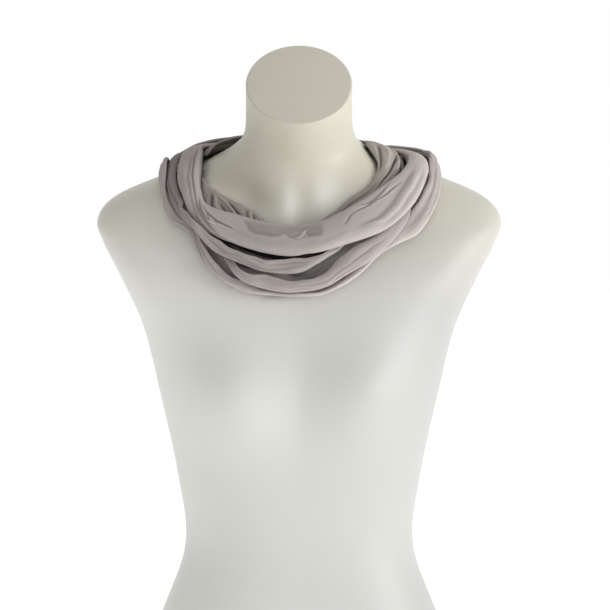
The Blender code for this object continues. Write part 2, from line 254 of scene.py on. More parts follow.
def form_surface(n_rows, n_round):
    """Superellipse rings: x is half width times sin^(2/n), reach is depth times cos^(2/n), and each ring
    leans back by its tilt. The bust is a soft bell on each side, pushed forwards."""
    height, centre_y, tilt, half_width, front, back, square = [c[:, None] for c in form_rings(n_rows).T]
    turn = np.radians(np.linspace(0, 360, n_round, endpoint=False))
    side, ahead = np.sin(turn), -np.cos(turn)
    x = half_width * np.sign(side) * np.abs(side) ** (2 / square)
    reach = np.where(ahead < 0, front, back) * np.sign(ahead) * np.abs(ahead) ** (2 / square)
    lean = np.radians(tilt)
    y = centre_y + reach * np.cos(lean)
    z = height + reach * np.sin(lean)
    swell = bell(np.abs(x), z, BUST_HALF_SPACING, BUST_HEIGHT, BUST_SPREAD_X, BUST_SPREAD_Z)
    y = y - BUST_SWELL * swell * (y < centre_y)
    return np.stack([x, y, z], axis=-1)


def neck_hollows(points):
    """Moves the front of the neck's foot back by the sum of the bells in NECK_BELLS."""
    x, y, z = points[..., 0], points[..., 1], points[..., 2]
    sink = sum(depth * bell(x, z, *place) for *place, depth in NECK_BELLS)
    points[..., 1] = y + sink * (y < NECK_LINE_Y)
    return points


def grid_faces(rows, columns, closed):
    """Quads of a grid whose points run row by row; closed joins each row's end to its start."""
    i, j = np.meshgrid(np.arange(rows - 1), np.arange(columns - (not closed)), indexing="ij")
    right = (j + 1) % columns
    this, after = i * columns, (i + 1) * columns
    return np.stack([this + j, this + right, after + right, after + j], axis=-1).reshape(-1, 4)


def mesh_piece(name, points, faces, mat):
    """An object at the origin from points in millimetres, smooth shaded."""
    mesh = bpy.data.meshes.new(name)
    mesh.from_pydata((points * MM).tolist(), [], faces)
    mesh.update()
    mesh.shade_smooth()
    mesh.materials.append(mat)
    piece = bpy.data.objects.new(name, mesh)
    bpy.context.scene.collection.objects.link(piece)
    return piece


body = neck_hollows(form_surface(FORM_ROWS, FORM_ROUND))
body[0, :, 2] = 0.0
neck_edge = body[-1]
neck_middle = neck_edge.mean(axis=0)
outwards = (neck_edge - neck_middle) / np.linalg.norm(neck_edge - neck_middle, axis=1)[:, None]
cap_slope = math.radians(FORM[-1][2])
cap_up = np.array([0.0, -math.sin(cap_slope), math.cos(cap_slope)])
quarter = np.radians(np.linspace(0, 90, CAP_STEPS))[1:, None, None]
cap_edge = neck_edge - outwards * CAP_INSET * (1 - np.cos(quarter)) + cap_up * CAP_INSET * np.sin(quarter)
foot_middle = np.array([0, FORM[0][1], 0])
foot_inset = body[0] + (foot_middle - body[0]) * FOOT_INSET
foot_inset[:, 2] = 0.0
body[0, :, 2] = FOOT_RISE
rings = np.concatenate([foot_inset[None], body, cap_edge])
form_faces = grid_faces(len(rings), FORM_ROUND, True).tolist()
form_faces.append(list(range(FORM_ROUND))[::-1])
form_faces.append([(len(rings) - 1) * FORM_ROUND + j for j in range(FORM_ROUND)])

SHADE_BROWN = (0.27, 0.235, 0.175, 1)  # painted shade in the neck's hollows
PAINTED_RIDGE_HIGHLIGHT = (0.93, 0.91, 0.84, 1)  # painted highlight on the ridges beside them
PAINTED_CLOTH_SHADOW = (0.036, 0.030, 0.028, 1)  # painted shade where the cloth keeps the light off
PAINTED_SIDE_SHADE = (0.46, 0.458, 0.436, 1)  # painted shade on the chest at the right, nearest to the light
SIDE_SLOPE = 3.5  # per metre, across the chest
NECK_FOOT = 0.48  # metres; above this the skin turns from chest to neck tone
NECK_SLOPE = 7.0  # per metre, up the neck

form_material, form_shader, form_maths = new_material("form_ivory", Specular_IOR_Level=0.4)
form_place = form_maths.out("ShaderNodeTexCoord", output=3)
form_cloud = form_maths.out("ShaderNodeTexNoise", Vector=form_place, Scale=6.0, Detail=3.0)
form_grain = form_maths.out("ShaderNodeTexNoise", Vector=form_place, Scale=900.0, Detail=2.0)
form_shade = form_maths.out("ShaderNodeAttribute", {"attribute_name": "under"}, output=2)
form_side, _, form_height = form_place.split()
form_neck = form_cloud.mix((0.555, 0.528, 0.436, 1), (0.605, 0.578, 0.486, 1))
form_chest = form_cloud.mix((0.735, 0.732, 0.690, 1), (0.785, 0.780, 0.735, 1))
# Painted shade: the chest darker towards the right
form_chest = (form_side * SIDE_SLOPE + 0.5).clamp().mix(form_chest, PAINTED_SIDE_SHADE)
form_plain = ((form_height - NECK_FOOT) * NECK_SLOPE).clamp().mix(form_chest, form_neck)
form_neck_shading = form_maths.out("ShaderNodeAttribute", {"attribute_name": "painted_neck_shading"}, output=2)
# Painted shade in the neck's hollows and painted highlight on the ridges beside them
form_soft = form_neck_shading.clamp().mix(form_plain, SHADE_BROWN)
form_soft = (form_neck_shading * -1).clamp().mix(form_soft, PAINTED_RIDGE_HIGHLIGHT)
# Painted shade where the cloth covers the skin, laid over all the rest
feed(form_shader, "Base Color", form_shade.mix(form_soft, PAINTED_CLOTH_SHADOW))
feed(form_shader, "Roughness", form_cloud * 0.12 + 0.38)
form_relief = form_maths.out("ShaderNodeBump", Strength=0.04, Distance=0.0004, Height=form_grain)
feed(form_shader, "Normal", form_relief)

form_body = mesh_piece("form_body", rings.reshape(-1, 3), form_faces, form_material)
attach(form_body, "root")
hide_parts("dress_form")

# The shawl: how it is wound
# One rectangle of thin grey-mauve jersey, wound as two folds: one runs through the inner, middle and outer
# stretches, the other through the top and lower ones. Each row of a table is the section in one half plane:
# angle, r_top, z_top, r_low, z_low, bulge, back, top_wrap, low_wrap.
SQUARE = 2.3  # 2 is an ellipse; more gives flatter faces with tighter bends
SEAM_GAP = 0.3  # millimetres between one stretch and the next at the nape
SEAM_RADIUS = 64.0  # least distance of the cloth from the upright line
INNER = (
    (-180, 69, 654, 75, 632, 3, 2, 40, 30),
    (-150, 75, 653, 82, 635, 3, 2, 40, 30),
    (-120, 84, 649, 90, 638, 3, 2, 40, 30),
    (-105, 91, 642, 98, 632, 3, 2, 40, 30),
    (-97, 95, 633, 105, 630.5, 2, 1.5, 20, 20),
    (-90, 103, 632.5, 114, 630.5, 2, 1.5, 20, 20),
    (-75, 102, 614, 111, 610, 2, 1.5, 10, 15),
    (-67, 95.5, 600.5, 107, 591.5, 2.5, 1.5, 5, 15),
    (-60, 89.5, 594, 105, 580.5, 2.5, 2, 0, 20),
    (-52, 82, 588, 100, 572, 2.5, 2, 0, 25),
    (-45, 77, 583, 95, 565, 2.5, 2, 0, 30),
    (-37, 72.5, 577, 91, 557, 2.5, 2, 0, 30),
    (-30, 70, 570, 88, 551, 2.5, 2, 0, 30),
    (-15, 66, 563, 84, 546, 2.5, 2, 0, 30),
    (0, 64, 562, 83, 544, 2.5, 2, 0, 30),
    (15, 64, 567, 84, 548, 2.5, 2, 0, 30),
    (30, 65, 577, 84, 556, 2.5, 2, 0, 30),
    (45, 70, 590, 89, 569, 3, 2, 0, 30),
    (60, 81, 604, 101, 587, 4, 2, 0, 30),
    (75, 82, 624, 107, 610, 4, 2, 0, 20),
    (90, 68, 643, 105, 626, 7, 2, 0, 25),
    (105, 71, 645, 97, 635, 5, 2, 5, 10),
    (120, 75, 646.5, 94, 635, 3, 2, 10, 30),
    (150, 76, 650, 83, 633, 3, 2, 40, 30),
)
TOP = (
    (-180, 80, 656, 86, 626, 4, 3, 40, 50),
    (-150, 86, 654, 94, 629, 4, 3, 40, 50),
    (-120, 98, 643, 111, 630, 5, 3, 30, 40),
    (-105, 101, 641, 116, 633, 5, 4, 20, 10),
    (-90, 98, 636, 119, 627, 8, 4, 10, 30),
    (-75, 102, 618, 125, 606, 9, 4, 0, 40),
    (-67, 106.5, 600, 125.5, 593, 8, 4, 0, 35),
    (-60, 106.5, 584.5, 125.5, 577.5, 8, 4, -5, 30),
    (-52, 98, 577.5, 123, 565, 8.5, 4, -15, 30),
    (-45, 89, 574, 120, 557.5, 9, 4, -20, 30),
    (-30, 80, 568, 114, 548, 9, 5, -20, 40),
    (-15, 76, 565, 111, 541, 9, 5, -20, 40),
    (0, 74, 564, 110, 539, 9, 5, -20, 0),
    (15, 74, 567, 111, 544.5, 9, 5, -20, 5),
    (30, 76, 575, 113, 553, 10, 5, -20, 10),
    (45, 83, 586, 121, 564, 10, 5, -20, 40),
    (60, 94, 600, 129, 585, 11, 5, -10, 40),
    (75, 107, 617, 130, 606, 9, 5, 0, 40),
    (90, 109, 629, 128, 622, 9, 4, 20, 40),
    (97, 106, 633, 122, 628.5, 6, 3, 25, 20),
    (105, 101, 636, 112.5, 632.5, 4, 3, 30, 10),
    (120, 98, 638, 109, 629, 4, 3, 40, 40),
    (150, 91, 649, 99, 623, 4, 3, 40, 50),
)
MIDDLE = (
    (-180, 90, 656, 97, 620, 4, 3, 40, 50),
    (-150, 99, 652, 108, 619, 4, 3, 40, 50),
    (-120, 115, 644, 127, 625, 5, 3, 40, 50),
    (-105, 121.5, 635, 130.5, 624.5, 4, 3, 35, 20),
    (-90, 123, 629, 132, 617, 4, 3, 40, 50),
    (-75, 127.5, 606, 135, 594, 4, 4, 0, 60),
    (-67, 123, 588, 134, 580.5, 4, 4, -35, 60),
    (-64, 119, 585.5, 134.5, 577, 3.5, 4, -90, 60),
    (-60, 115, 581, 133.5, 573, 3.5, 4, -105, 50),
    (-52, 112, 572.5, 132, 563, 3.5, 5, -110, 60),
    (-45, 109.5, 562, 126.5, 547, 4, 6, -96, 150),
    (-30, 104, 551, 119, 531.5, 4, 7, -98, 155),
    (-15, 101, 544, 117, 522.8, 4, 7, -98, 155),
    (0, 99, 541.5, 115, 523, 4, 7, -82, 155),
    (15, 96, 546.5, 111, 538, 3, 5, -112, 140),
    (22, 93, 553, 105, 544, 2, 4, -70, 90),
    (30, 92, 564, 103, 555, 2, 3, 0, 60),
    (45, 103, 575, 112, 567, 2, 2, 20, 30),
    (60, 109, 591, 118, 586, 2, 2, 30, 30),
    (75, 112, 612, 122, 608, 2, 2, 30, 30),
    (90, 113, 627.5, 122, 624, 2, 1.5, 30, 30),
    (97, 111, 627.5, 120, 624.5, 1.5, 1, 25, 20),
    (105, 111, 629, 120, 626, 1.5, 1, 20, 20),
    (120, 115, 632, 121, 621, 2.5, 2, 30, 30),
    (150, 106, 646, 112, 616, 4, 3, 40, 50),
)
LOWER = (
    (-180, 101, 650, 108, 612, 4, 3, 40, 50),
    (-150, 112, 640, 120, 610, 4, 3, 40, 50),
    (-120, 127, 621, 134, 611, 2, 2, 30, 30),
    (-105, 113, 628, 126, 624, 1, 1, 10, 10),
    (-90, 107, 624, 118, 620.3, 1.2, 1.2, 15, 15),
    (-75, 109, 606, 119, 600.5, 1.2, 1.2, 20, 20),
    (-67, 112, 586, 119, 580, 1.2, 1.2, 20, 20),
    (-60, 108, 574, 115, 568, 1.5, 1.5, 30, 30),
    (-45, 102, 553, 109, 543, 2, 2, 20, 40),
    (-36, 100.5, 539.3, 116.5, 527.4, 3, 5.5, -80, 88),
    (-30, 100, 532.5, 122, 519.5, 5, 7, -116, 120),
    (-15, 98, 527, 121, 507, 5, 7, -100, 155),
    (0, 96, 519.5, 118, 505.5, 5, 7, -108, 160),
    (15, 97, 530, 118, 510, 5, 7, -90, 155),
    (22, 100, 538.5, 119, 518.5, 5, 7, -68, 145),
    (30, 103, 546, 120, 527, 5, 7, -45, 130),
    (45, 111, 559, 122, 545, 4, 4, -20, 90),
    (60, 115, 582, 126, 573.5, 2, 2, 20, 30),
    (67, 114, 592.5, 123, 588, 1.5, 1.5, 20, 20),
    (75, 113, 604, 124, 599.5, 1.5, 1.5, 20, 20),
    (90, 112, 621.5, 126, 616.5, 1.5, 1, 20, 20),
    (97, 117, 621.8, 128, 618, 1.5, 1, 20, 15),
    (105, 124, 624.5, 131, 620.5, 1.5, 1, 10, 10),
    (120, 125, 629, 130, 615, 1.5, 1.5, 30, 40),
    (150, 118, 632, 123, 606, 3, 3, 40, 50),
    (180, 121.5, 621, 122.5, 607, 1.2, 1, 0, 0),
)
OUTER = (
    (-180, 112, 640, 118, 600, 4, 3, 40, 50),
    (-150, 126, 626, 132, 594, 4, 3, 40, 50),
    (-120, 140, 620, 145, 603, 3, 3, 40, 50),
    (-105, 135.5, 622.5, 144.5, 615.5, 2.5, 2, 30, 20),
    (-90, 134.8, 629.5, 141.3, 612, 3, 2, 45, 50),
    (-80, 136.5, 613, 141, 602, 2.5, 2, 10, 50),
    (-75, 139, 599.5, 140.5, 591, 1.5, 2, 0, 50),
    (-71, 137.8, 587, 140, 580, 1.5, 2, 0, 40),
    (-67, 132.5, 576, 138, 571, 1.5, 2, -10, 50),
    (-60, 119, 566, 127.5, 560, 2, 2.5, -30, 50),
    (-52, 115, 552, 127, 539, 3.5, 5, -72, 95),
    (-45, 112, 543, 127, 524, 4, 6, -88, 140),
    (-30, 104, 515, 116, 505, 4, 5, -95, 110),
    (-15, 98, 505, 109, 501, 1.5, 3, 0, 60),
    (0, 97, 502, 107, 500, 1.5, 2.5, 0, 60),
    (15, 97, 506, 109, 503.5, 1.5, 2.5, 0, 60),
    (30, 103, 525, 113, 518, 2.5, 3, 0, 80),
    (45, 106, 547, 117, 540.5, 2, 2.5, 0, 60),
    (52, 110, 559, 125, 549, 2.5, 3, 0, 50),
    (60, 113, 569, 134, 557, 3, 3, 0, 50),
    (67, 120, 581.5, 140, 571, 4, 2.5, 5, 60),
    (75, 128, 597.5, 143, 588, 5, 3, 5, 60),
    (82, 132, 610.5, 142.5, 602, 5, 3, 15, 50),
    (90, 133, 631, 141, 611, 5, 3, 55, 50),
    (105, 132, 637.5, 142, 618, 5, 3, 60, 30),
    (120, 130, 640, 141, 607, 5, 3, 60, 60),
    (135, 126, 641, 137, 601, 4.5, 3, 50, 55),
    (150, 125, 637, 134, 595, 4, 3, 40, 50),
    (180, 126, 630, 130, 600, 2.5, 2, -15, -15),
)
STRANDS = ({"inner": INNER, "middle": MIDDLE, "outer": OUTER}, {"top": TOP, "lower": LOWER})
CLOTH_ROUND = 440  # rows of points from nape to nape, closer together at the front
CLOTH_ACROSS = 84  # points across a section
FRONT_HALF = 115.0  # the front reaches this angle each way and gets this share of the rows
FRONT_SHARE = 0.76
CLOTH_THICKNESS = 0.8  # millimetres
CLEARANCE = 1.15  # least distance kept between two middle surfaces
SECTION_FINE = 241  # points on a section before they are spaced evenly
WANDER = 2.6  # degrees that the ends' wraps wander by along a stretch
TOP_WANDER = (31, 17, 9.5)
LOW_WANDER = (37, 21, 11)


def strand_rows(strand):
    """One strand's rows end to end, the angle running on from turn to turn."""
    rows = [(row[0] + 360 * turn,) + row[1:] for turn, table in enumerate(strand.values()) for row in table]
    return np.array(rows, float)


def smooth_rows(rows, at):
    """A cubic Hermite curve through unevenly spaced rows, read at the angles `at`."""
    x, y = rows[:, 0], rows[:, 1:]
    gap = np.diff(x)[:, None]
    slope = np.diff(y, axis=0) / gap
    tangent = np.empty_like(y)
    tangent[1:-1] = (slope[:-1] * gap[1:] + slope[1:] * gap[:-1]) / (gap[1:] + gap[:-1])
    tangent[0], tangent[-1] = slope[0], slope[-1]
    i = np.clip(np.searchsorted(x, at, side="right") - 1, 0, len(x) - 2)
    t = ((at - x[i]) / (x[i + 1] - x[i]))[:, None]
    h = gap[i]
    start = (2 * t**3 - 3 * t**2 + 1) * y[i] + (t**3 - 2 * t**2 + t) * h * tangent[i]
    end = (-2 * t**3 + 3 * t**2) * y[i + 1] + (t**3 - t**2) * h * tangent[i + 1]
    return start + end


def section_points(values, n):
    """Evenly spaced points (r, z): a superellipse arc from past the top end to past the lower end."""
    r_top, z_top, r_low, z_low, bulge, back, top_wrap, low_wrap = [c[:, None] for c in values.T]
    half = np.hypot(r_top - r_low, z_top - z_low) / 2
    up_r, up_z = (r_top - r_low) / (2 * half), (z_top - z_low) / (2 * half)
    share = np.linspace(0, 1, SECTION_FINE)[None, :]
    turn = np.radians(90 + top_wrap - share * (180 + top_wrap + low_wrap))
    out = np.sign(np.cos(turn)) * np.abs(np.cos(turn)) ** (2 / SQUARE)
    along = np.sign(np.sin(turn)) * np.abs(np.sin(turn)) ** (2 / SQUARE)
    depth = np.where(out > 0, bulge, back) * out
    r = (r_top + r_low) / 2 + half * along * up_r + depth * up_z
    z = (z_top + z_low) / 2 + half * along * up_z - depth * up_r
    run = np.cumsum(np.hypot(np.diff(r, axis=1), np.diff(z, axis=1)), axis=1)
    run = np.hstack([np.zeros((len(r), 1)), run]) / run[:, -1:]
    want = np.linspace(0, 1, n)
    return [np.stack([np.interp(want, *row) for row in zip(run, values)]) for values in (r, z)]


def drift(at, seed, periods, size):
    """A slow wandering value along the angle: sines of the given periods with seeded phases."""
    phases = np.random.default_rng(seed).uniform(0, 2 * np.pi, len(periods))
    return size * sum(np.sin(2 * np.pi * at / p + f) for p, f in zip(periods, phases)) / len(periods) ** 0.5


PROFILE_ROWS = 320
PROFILE_LOW, PROFILE_HIGH = 380, 735


def form_profile(angles):
    """Where each half plane cuts the form above the chest: r and z, a column for each ring, and the rings."""
    skin = form_surface(PROFILE_ROWS, 360)
    kept = (skin[:, :, 2].min(axis=1) > PROFILE_LOW) & (skin[:, :, 2].max(axis=1) < PROFILE_HIGH)
    skin = skin[kept]
    azimuth = np.degrees(np.arctan2(skin[..., 0], NECK_LINE_Y - skin[..., 1]))
    radius = np.hypot(skin[..., 0], skin[..., 1] - NECK_LINE_Y)
    r, z = np.empty((2, len(angles), len(skin)))
    for row in range(len(skin)):
        r[:, row] = np.interp(angles, azimuth[row], radius[row], period=360)
        z[:, row] = np.interp(angles, azimuth[row], skin[row, :, 2], period=360)
    return r, z, np.flatnonzero(kept)


seam_trim = math.degrees(SEAM_GAP / 2 / SEAM_RADIUS)
nape_share = (1 - FRONT_SHARE) / 2
cloth_angles = np.interp(
    np.linspace(0, 1, CLOTH_ROUND),
    (0, nape_share, 1 - nape_share, 1),
    (-180 + seam_trim, -FRONT_HALF, FRONT_HALF, 180 - seam_trim),
)
base_sections = {}
for number, strand in enumerate(STRANDS):
    for turn, name in enumerate(strand):
        at = cloth_angles + 360 * turn
        values = smooth_rows(strand_rows(strand), at)
        values[:, 6] += drift(at, 11 + number, TOP_WANDER, WANDER)
        values[:, 7] += drift(at, 31 + number, LOW_WANDER, WANDER)
        base_sections[name] = section_points(values, CLOTH_ACROSS)
profile_r, profile_z, profile_rows = form_profile(cloth_angles)


def outward_of(r, z):
    """Unit normals of the sections in their half planes, on the side that faces away from the neck."""
    along_r, along_z = np.gradient(r, axis=1), np.gradient(z, axis=1)
    size = np.hypot(along_r, along_z)
    return -along_z / size, along_r / size


BESIDE = 0.35  # cosine up to which a neighbour counts as beside a point, for both sides
FAR_OFF = 99.0  # stands for room without a neighbour


def room_around(name):
    """Room on the outward and the inward side of each point: the distance to the nearest other stretch or the
    form in its half plane, counting only what lies on that side or beside the point."""
    r, z = base_sections[name]
    normal_r, normal_z = outward_of(r, z)
    others = [points for other, points in base_sections.items() if other != name]
    others_r = np.concatenate([points[0][:, ::2] for points in others] + [profile_r], axis=1)
    others_z = np.concatenate([points[1][:, ::2] for points in others] + [profile_z], axis=1)
    room_out, room_in = np.empty_like(r), np.empty_like(r)
    for i in range(len(r)):
        away_r, away_z = others_r[i] - r[i][:, None], others_z[i] - z[i][:, None]
        reach = np.hypot(away_r, away_z)
        facing = (away_r * normal_r[i][:, None] + away_z * normal_z[i][:, None]) / reach
        room_out[i] = np.where(facing > -BESIDE, reach, FAR_OFF).min(axis=1)
        room_in[i] = np.where(facing < BESIDE, reach, FAR_OFF).min(axis=1)
    return room_out, room_in


RAY_FAN = (-35, -15, 2, 18, 34, 50, 68, 88)  # degrees above level
RAY_ROWS = 111  # half planes that are looked at; the rest are read between them
RAY_START = 1.3  # millimetres from the point, past its own wall
RAY_REACH = 60


def openness():
    """How open each point is to the light, from 0 to 1: the share of the RAY_FAN rays that run outwards from
    it in its half plane and meet neither a stretch nor the form."""
    pick = np.linspace(0, CLOTH_ROUND - 1, RAY_ROWS).astype(int)
    fan = np.radians(np.array(RAY_FAN))
    ray = np.stack([np.cos(fan), np.sin(fan)], axis=1)
    walls = [np.stack([r[:, ::5], z[:, ::5]], axis=-1) for r, z in base_sections.values()]
    walls.append(np.stack([profile_r[:, ::3], profile_z[:, ::3]], axis=-1))
    lines = {name: (r[:, ::3], z[:, ::3]) for name, (r, z) in base_sections.items()}
    lines["form"] = (profile_r, profile_z)
    open_at = {name: np.empty((len(pick), r.shape[1])) for name, (r, z) in lines.items()}
    for row, i in enumerate(pick):
        first = np.concatenate([w[i, :-1] for w in walls])
        step = np.concatenate([w[i, 1:] for w in walls]) - first
        for name, (r, z) in lines.items():
            start = np.stack([r[i], z[i]], axis=1)
            way, leg = ray[None, :, None], step[None, None]
            gap = first[None, None] - (start[:, None, None] + RAY_START * way)
            cross = way[..., 0] * leg[..., 1] - way[..., 1] * leg[..., 0]
            cross = np.where(np.abs(cross) < 1e-9, 1e-9, cross)
            distance = (gap[..., 0] * leg[..., 1] - gap[..., 1] * leg[..., 0]) / cross
            share = (gap[..., 0] * way[..., 1] - gap[..., 1] * way[..., 0]) / cross
            met = (distance > 0) & (distance < RAY_REACH) & (share >= 0) & (share <= 1)
            open_at[name][row] = 1 - met.any(axis=2).mean(axis=1)
    full = {}
    for name, shares in open_at.items():
        wide = profile_r.shape[1] if name == "form" else CLOTH_ACROSS
        at = np.linspace(0, 1, shares.shape[1])
        shares = np.stack([np.interp(np.linspace(0, 1, wide), at, row) for row in shares])
        place = np.arange(CLOTH_ROUND)
        full[name] = np.stack([np.interp(place, pick, column) for column in shares.T], axis=1)
    return full


open_share = openness()


def soft_step(distance, softness):
    """1 well below 0 and 0 well above it: 1 over 1 plus e to the distance over the softness."""
    return 1 / (1 + np.exp(distance / softness))


def tone_form(name, values):
    """Keeps a value for each point of the form's body as an attribute, 0 on the underside and the cap."""
    layer = form_body.data.attributes.new(name, "FLOAT", "POINT")
    padded = np.pad(values, ((1, CAP_STEPS - 1), (0, 0)))
    layer.data.foreach_set("value", padded.astype(np.float32).ravel())


# Painted shade on the form's skin where the cloth covers it, and a little in the nook at the back left. The
# gap at the lower right is open to the light, so it keeps almost none of this painted shade.
COVER_LOW, COVER_HIGH = 450, 700
COVER_OPEN = 0.5  # openness from which on the skin keeps its own colour
NOOK_CENTRE, NOOK_SPREAD, NOOK_SHADE = (-80, 18, 641), (13, 20, 10), 0.45
RIGHT_GAP_FROM, RIGHT_GAP_TO, RIGHT_GAP_SOFT, RIGHT_GAP_OPEN = 3, 60, 2.5, 0.97
# centre_x, centre_z, spread_x, spread_z, tone: painted shade in those hollows, and below 0 painted highlight
# beside them
NECK_SHADE = (
    (-43, 596, 17, 21, 0.66),
    (-68, 608, 20, 15, 0.36),
    (11, 592, 8, 18, 0.24),
    (-9, 580, 8, 22, -0.70),
    (27, 592, 16, 21, -0.66),
)
skin_angle = np.degrees(np.arctan2(body[..., 0], NECK_LINE_Y - body[..., 1]))
painted_cover_shade = np.zeros(body.shape[:2])
cover_rows = np.clip(1 - open_share["form"] / COVER_OPEN, 0, 1)
for row in range(FORM_ROWS):
    if COVER_LOW < body[row, :, 2].mean() < COVER_HIGH:
        ring = np.abs(profile_rows - row * (PROFILE_ROWS - 1) / (FORM_ROWS - 1)).argmin()
        painted_cover_shade[row] = np.interp(skin_angle[row], cloth_angles, cover_rows[:, ring], period=360)
nook = (((body - np.array(NOOK_CENTRE)) / np.array(NOOK_SPREAD)) ** 2).sum(axis=-1)
painted_cover_shade = np.maximum(painted_cover_shade, NOOK_SHADE * np.exp(-nook))
right_gap = soft_step(RIGHT_GAP_FROM - skin_angle, RIGHT_GAP_SOFT) * (skin_angle < RIGHT_GAP_TO)
tone_form("under", painted_cover_shade * (1 - RIGHT_GAP_OPEN * right_gap))
# Painted shade in the neck's hollows and painted highlight beside them, on the front only
painted_neck_shading = sum(tone * bell(body[..., 0], body[..., 2], *place) for *place, tone in NECK_SHADE)
tone_form("painted_neck_shading", painted_neck_shading * (body[..., 1] < NECK_LINE_Y))


# angle, how far down the top band the darker sheer patch reaches, as a share of its width
SHEER_EDGE = (
    (-34, 0.30), (-31, 0.36), (-28, 0.50), (-25, 0.54), (-20, 0.53), (-15, 0.55), (-11, 0.52), (-8, 0.46),
    (-5, 0.56), (-2, 0.60), (1, 0.52), (3, 0.40), (4, 0.34), (5.2, 0.60), (9, 0.62), (13, 0.63), (15, 0.30),
)
SHEER_MIDDLE, SHEER_HALF = -9.5, 24
SHEER_TOP = 0.20  # share of the width at the patch's upper edge
SHEER_TONE, SHEER_RIM = 0.26, 0.16  # how much darker the patch is, and how much more at its lower edge
# Painted shade, rows of edge angle, softness and depth: the stretch is darker before the edge, or past it
# where the softness is below 0
END_SHADES = {
    "inner": ((-96, 2.0, 0.28),),
    "top": ((-56, 6.0, 0.12),),
    "middle": ((-62, 5.0, 0.40),),
    "outer": ((-62, 5.0, 0.26), (-10, 8.0, 0.24), (80, -3.0, 0.30)),
}
# painted shade over the inner stretch's crumpled strip at the front left
CRUMPLED_MIDDLE, CRUMPLED_HALF, CRUMPLED_SOFT, CRUMPLED_SHADE = -46, 22, 3.0, 0.14


def band_tone(name, angle, across):
    """How plain the cloth's colour is, 1 where nothing darkens it: less past the edges in END_SHADES and on
    the inner stretch's crumpled strip, both painted shade, and in the top band's sheer patch, where the cloth
    is single and the layer behind it shows through, most of all at the patch's uneven lower edge."""
    plain = np.ones(np.broadcast_shapes(angle.shape, across.shape))
    if name == "top":
        edge = np.interp(angle, *np.array(SHEER_EDGE).T)
        within = soft_step(across - edge, 0.010) * soft_step(SHEER_TOP - across, 0.02)
        beside = soft_step(np.abs(angle - SHEER_MIDDLE) - SHEER_HALF, 0.7)
        rim = np.exp(-(((across - edge) / 0.10) ** 2))
        plain -= (SHEER_TONE + SHEER_RIM * rim) * within * beside
    if name == "inner":
        plain -= CRUMPLED_SHADE * soft_step(np.abs(angle - CRUMPLED_MIDDLE) - CRUMPLED_HALF, CRUMPLED_SOFT)
    for edge_angle, softness, depth in END_SHADES.get(name, ()):
        plain -= depth * soft_step(angle - edge_angle, softness)
    return plain


def soft_fade(t):
    """0 at both ends of a crease and 1 along its middle, rising over the first and last quarter."""
    rise = np.clip(np.minimum(t, 1 - t) / 0.25, 0, 1)
    return rise * rise * (3 - 2 * rise)


def along_line(s, v, line_s, line_v):
    """Signed distance from each point (s, v) to a line of straight pieces, and how far along it, 0 to 1."""
    leg = np.hypot(np.diff(line_s), np.diff(line_v))
    best = np.full(np.broadcast_shapes(s.shape, v.shape), 1e9)
    side, place = np.ones_like(best), np.zeros_like(best)
    for k in range(len(leg)):
        way_s, way_v = (line_s[k + 1] - line_s[k]) / leg[k], (line_v[k + 1] - line_v[k]) / leg[k]
        from_s, from_v = s - line_s[k], v - line_v[k]
        run = np.clip(from_s * way_s + from_v * way_v, 0, leg[k])
        far = np.hypot(from_s - run * way_s, from_v - run * way_v)
        nearer = far < best
        best = np.where(nearer, far, best)
        side = np.where(nearer, np.sign(from_v * way_s - from_s * way_v), side)
        place = np.where(nearer, (leg[:k].sum() + run) / leg.sum(), place)
    return best * side, place


# Painted shade along the bottoms of troughs and laps, painted highlight along ridges
CREASE_TONE = 0.11  # for each square millimetre of trough depth
LAP_TONE = 0.06  # for each millimetre of lap
TONE_LIMITS = (-0.3, 0.7)
TONE_SHARE, TONE_LEAST = 0.55, 0.45  # width of the tone: a share of the crease's half width, and millimetres
LAP_RISE, LAP_FADE = 0.3, 2.4  # half widths over which a lap rises and dies away


def crease_push(creases, s, v, radius, span):
    """Listed creases, each a line of (angle, across) points. A trough is a soft bell pushed inwards, a ridge
    the same outwards; a lap is a step that dies away on both sides, like one pleat lying over the next.
    Returns the push and a tone of painted light: below 0 painted shade along the sharp bottom of a trough,
    above 0 painted highlight along a ridge's top."""
    total = np.zeros(np.broadcast_shapes(s.shape, v.shape))
    tone = np.zeros_like(total)
    for trough, lap, width, line in creases:
        line_s = np.array([math.radians(p[0]) * radius for p in line])
        line_v = np.array([(p[1] - 0.5) * span for p in line])
        off, place = along_line(s, v, line_s, line_v)
        trough_shape = np.exp(-((off / width) ** 2))
        step = np.tanh(off / (LAP_RISE * width)) * np.exp(-((off / (LAP_FADE * width)) ** 2))
        total += soft_fade(place) * (trough * trough_shape + lap * step)
        sharp = np.exp(-((off / (TONE_SHARE * width + TONE_LEAST)) ** 2))
        depth = np.clip(CREASE_TONE * trough * abs(trough) + LAP_TONE * abs(lap), *TONE_LIMITS)
        tone -= soft_fade(place) * sharp * depth
    return total, tone


STROKE_SLANT, STROKE_BEND = 0.28, 0.004
STROKE_PUSH = (0.4, 1.0)  # least and most of the depth
STROKE_REACH = 2.6  # lengths beyond which a stroke isn't felt


